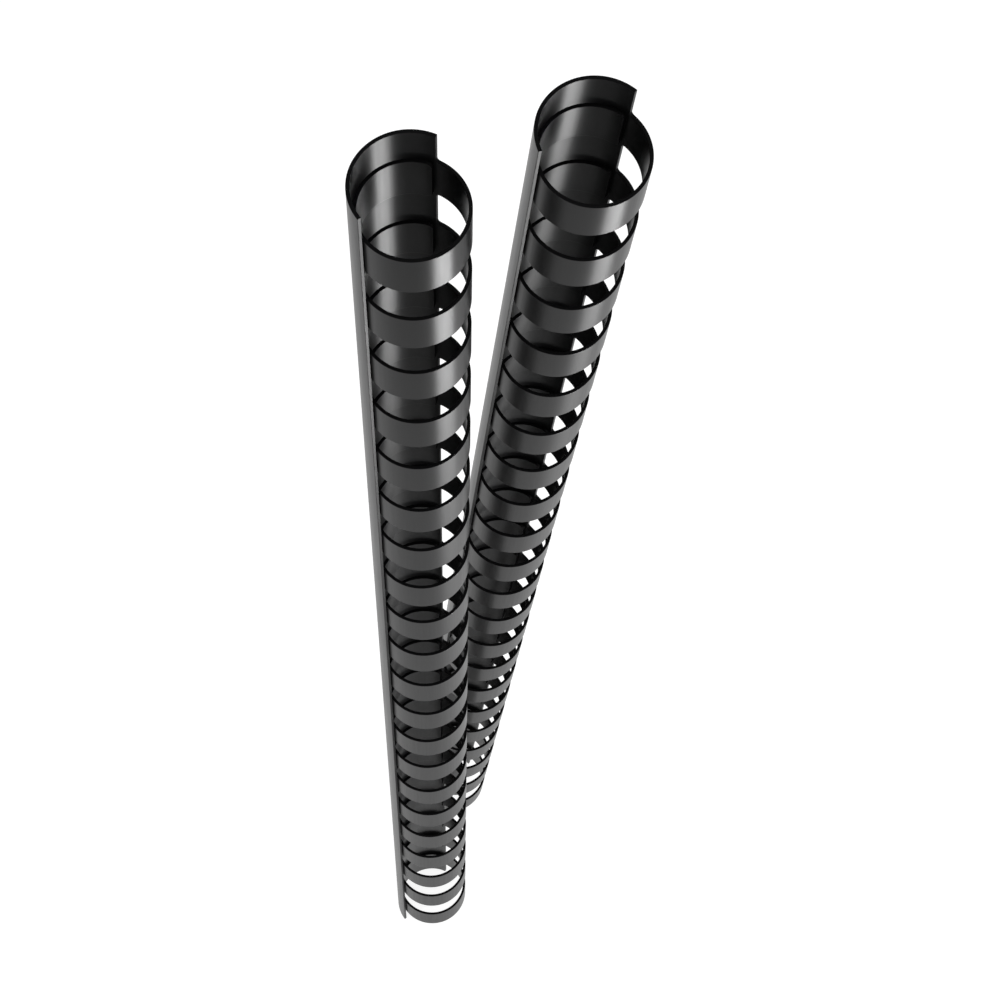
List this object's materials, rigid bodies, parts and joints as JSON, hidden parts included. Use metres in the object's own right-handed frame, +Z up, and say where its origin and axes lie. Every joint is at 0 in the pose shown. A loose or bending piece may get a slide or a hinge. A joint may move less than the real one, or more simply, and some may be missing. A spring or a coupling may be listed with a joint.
{
  "type": "plastic binding combs",
  "caption": "Glossy black plastic binding combs: half-round spines with rows of curled ring fingers that uncurl to take punched sheets.",
  "frame": {"origin": "on the surface that the combs stand on, at the middle of the pair's bounding box", "axes": "+Z up along the upright left comb, +X to the picture's right, +Y away from the camera"},
  "size_m": [0.034, 0.0378, 0.304],
  "materials": {
    "black_plastic": "glossy black PVC"
  },
  "bodies": {
    "left_spine": {"left_spine_root": "black_plastic", "left_spine_back": "black_plastic", "left_spine_lip": "black_plastic"},
    "left_ring_roots": {"left_ring_roots": "black_plastic"},
    "left_ring_sides": {"left_ring_sides": "black_plastic"},
    "left_ring_fronts": {"left_ring_fronts": "black_plastic"},
    "left_ring_tucks": {"left_ring_tucks": "black_plastic"},
    "left_ring_wraps": {"left_ring_wraps": "black_plastic"},
    "left_ring_tips": {"left_ring_tips": "black_plastic"},
    "right_spine": {"right_spine_root": "black_plastic", "right_spine_back": "black_plastic", "right_spine_lip": "black_plastic"},
    "right_ring_roots": {"right_ring_roots": "black_plastic"},
    "right_ring_sides": {"right_ring_sides": "black_plastic"},
    "right_ring_fronts": {"right_ring_fronts": "black_plastic"},
    "right_ring_tucks": {"right_ring_tucks": "black_plastic"},
    "right_ring_wraps": {"right_ring_wraps": "black_plastic"},
    "right_ring_tips": {"right_ring_tips": "black_plastic"}
  },
  "joints": [
    {"name": "left_ring_open", "type": "hinge", "parent": "left_spine", "child": "left_ring_roots", "pos_m": [-0.0071, -0.00602, 0.15202], "axis": [0, 0, 1], "range_deg": [0, 45], "stiffness_Nm_per_rad": 0.02},
    {"name": "left_side_bend", "type": "hinge", "parent": "left_ring_roots", "child": "left_ring_sides", "pos_m": [-0.00318, -0.01149, 0.15202], "axis": [0, 0, 1], "range_deg": [0, 27]},
    {"name": "left_front_bend", "type": "hinge", "parent": "left_ring_sides", "child": "left_ring_fronts", "pos_m": [-0.00596, -0.01762, 0.15202], "axis": [0, 0, 1], "range_deg": [0, 13.5]},
    {"name": "left_tuck_bend", "type": "hinge", "parent": "left_ring_fronts", "child": "left_ring_tucks", "pos_m": [-0.01265, -0.01827, 0.15202], "axis": [0, 0, 1], "range_deg": [0, 9]},
    {"name": "left_wrap_bend", "type": "hinge", "parent": "left_ring_tucks", "child": "left_ring_wraps", "pos_m": [-0.0164, -0.0131, 0.15202], "axis": [0, 0, 1], "range_deg": [0, 13.5]},
    {"name": "left_tip_bend", "type": "hinge", "parent": "left_ring_wraps", "child": "left_ring_tips", "pos_m": [-0.01387, -0.00724, 0.15202], "axis": [0, 0, 1], "range_deg": [0, 18]},
    {"name": "right_comb_slide", "type": "slide", "parent": "left_spine", "child": "right_spine", "axis": [1, 0, 0], "range_m": [0, 0.03]},
    {"name": "right_ring_open", "type": "hinge", "parent": "right_spine", "child": "right_ring_roots", "pos_m": [0.0063, 0.00878, 0.15155], "axis": [0.0565, -0.0558, 0.9968], "range_deg": [0, 45], "stiffness_Nm_per_rad": 0.02},
    {"name": "right_side_bend", "type": "hinge", "parent": "right_ring_roots", "child": "right_ring_sides", "pos_m": [0.00862, 0.00249, 0.15106], "axis": [0.0565, -0.0558, 0.9968], "range_deg": [0, 27]},
    {"name": "right_front_bend", "type": "hinge", "parent": "right_ring_sides", "child": "right_ring_fronts", "pos_m": [0.00432, -0.00269, 0.15102], "axis": [0.0565, -0.0558, 0.9968], "range_deg": [0, 13.5]},
    {"name": "right_tuck_bend", "type": "hinge", "parent": "right_ring_fronts", "child": "right_ring_tucks", "pos_m": [-0.00229, -0.00157, 0.15146], "axis": [0.0565, -0.0558, 0.9968], "range_deg": [0, 9]},
    {"name": "right_wrap_bend", "type": "hinge", "parent": "right_ring_tucks", "child": "right_ring_wraps", "pos_m": [-0.00453, 0.0044, 0.15192], "axis": [0.0565, -0.0558, 0.9968], "range_deg": [0, 13.5]},
    {"name": "right_tip_bend", "type": "hinge", "parent": "right_ring_wraps", "child": "right_ring_tips", "pos_m": [-0.00054, 0.00938, 0.15197], "axis": [0.0565, -0.0558, 0.9968], "range_deg": [0, 18]}
  ],
  "couplings": [
    {"joint": "left_side_bend", "follows": "left_ring_open", "ratio": 0.6},
    {"joint": "left_front_bend", "follows": "left_ring_open", "ratio": 0.3},
    {"joint": "left_tuck_bend", "follows": "left_ring_open", "ratio": 0.2},
    {"joint": "left_wrap_bend", "follows": "left_ring_open", "ratio": 0.3},
    {"joint": "left_tip_bend", "follows": "left_ring_open", "ratio": 0.4},
    {"joint": "right_side_bend", "follows": "right_ring_open", "ratio": 0.6},
    {"joint": "right_front_bend", "follows": "right_ring_open", "ratio": 0.3},
    {"joint": "right_tuck_bend", "follows": "right_ring_open", "ratio": 0.2},
    {"joint": "right_wrap_bend", "follows": "right_ring_open", "ratio": 0.3},
    {"joint": "right_tip_bend", "follows": "right_ring_open", "ratio": 0.4}
  ]
}
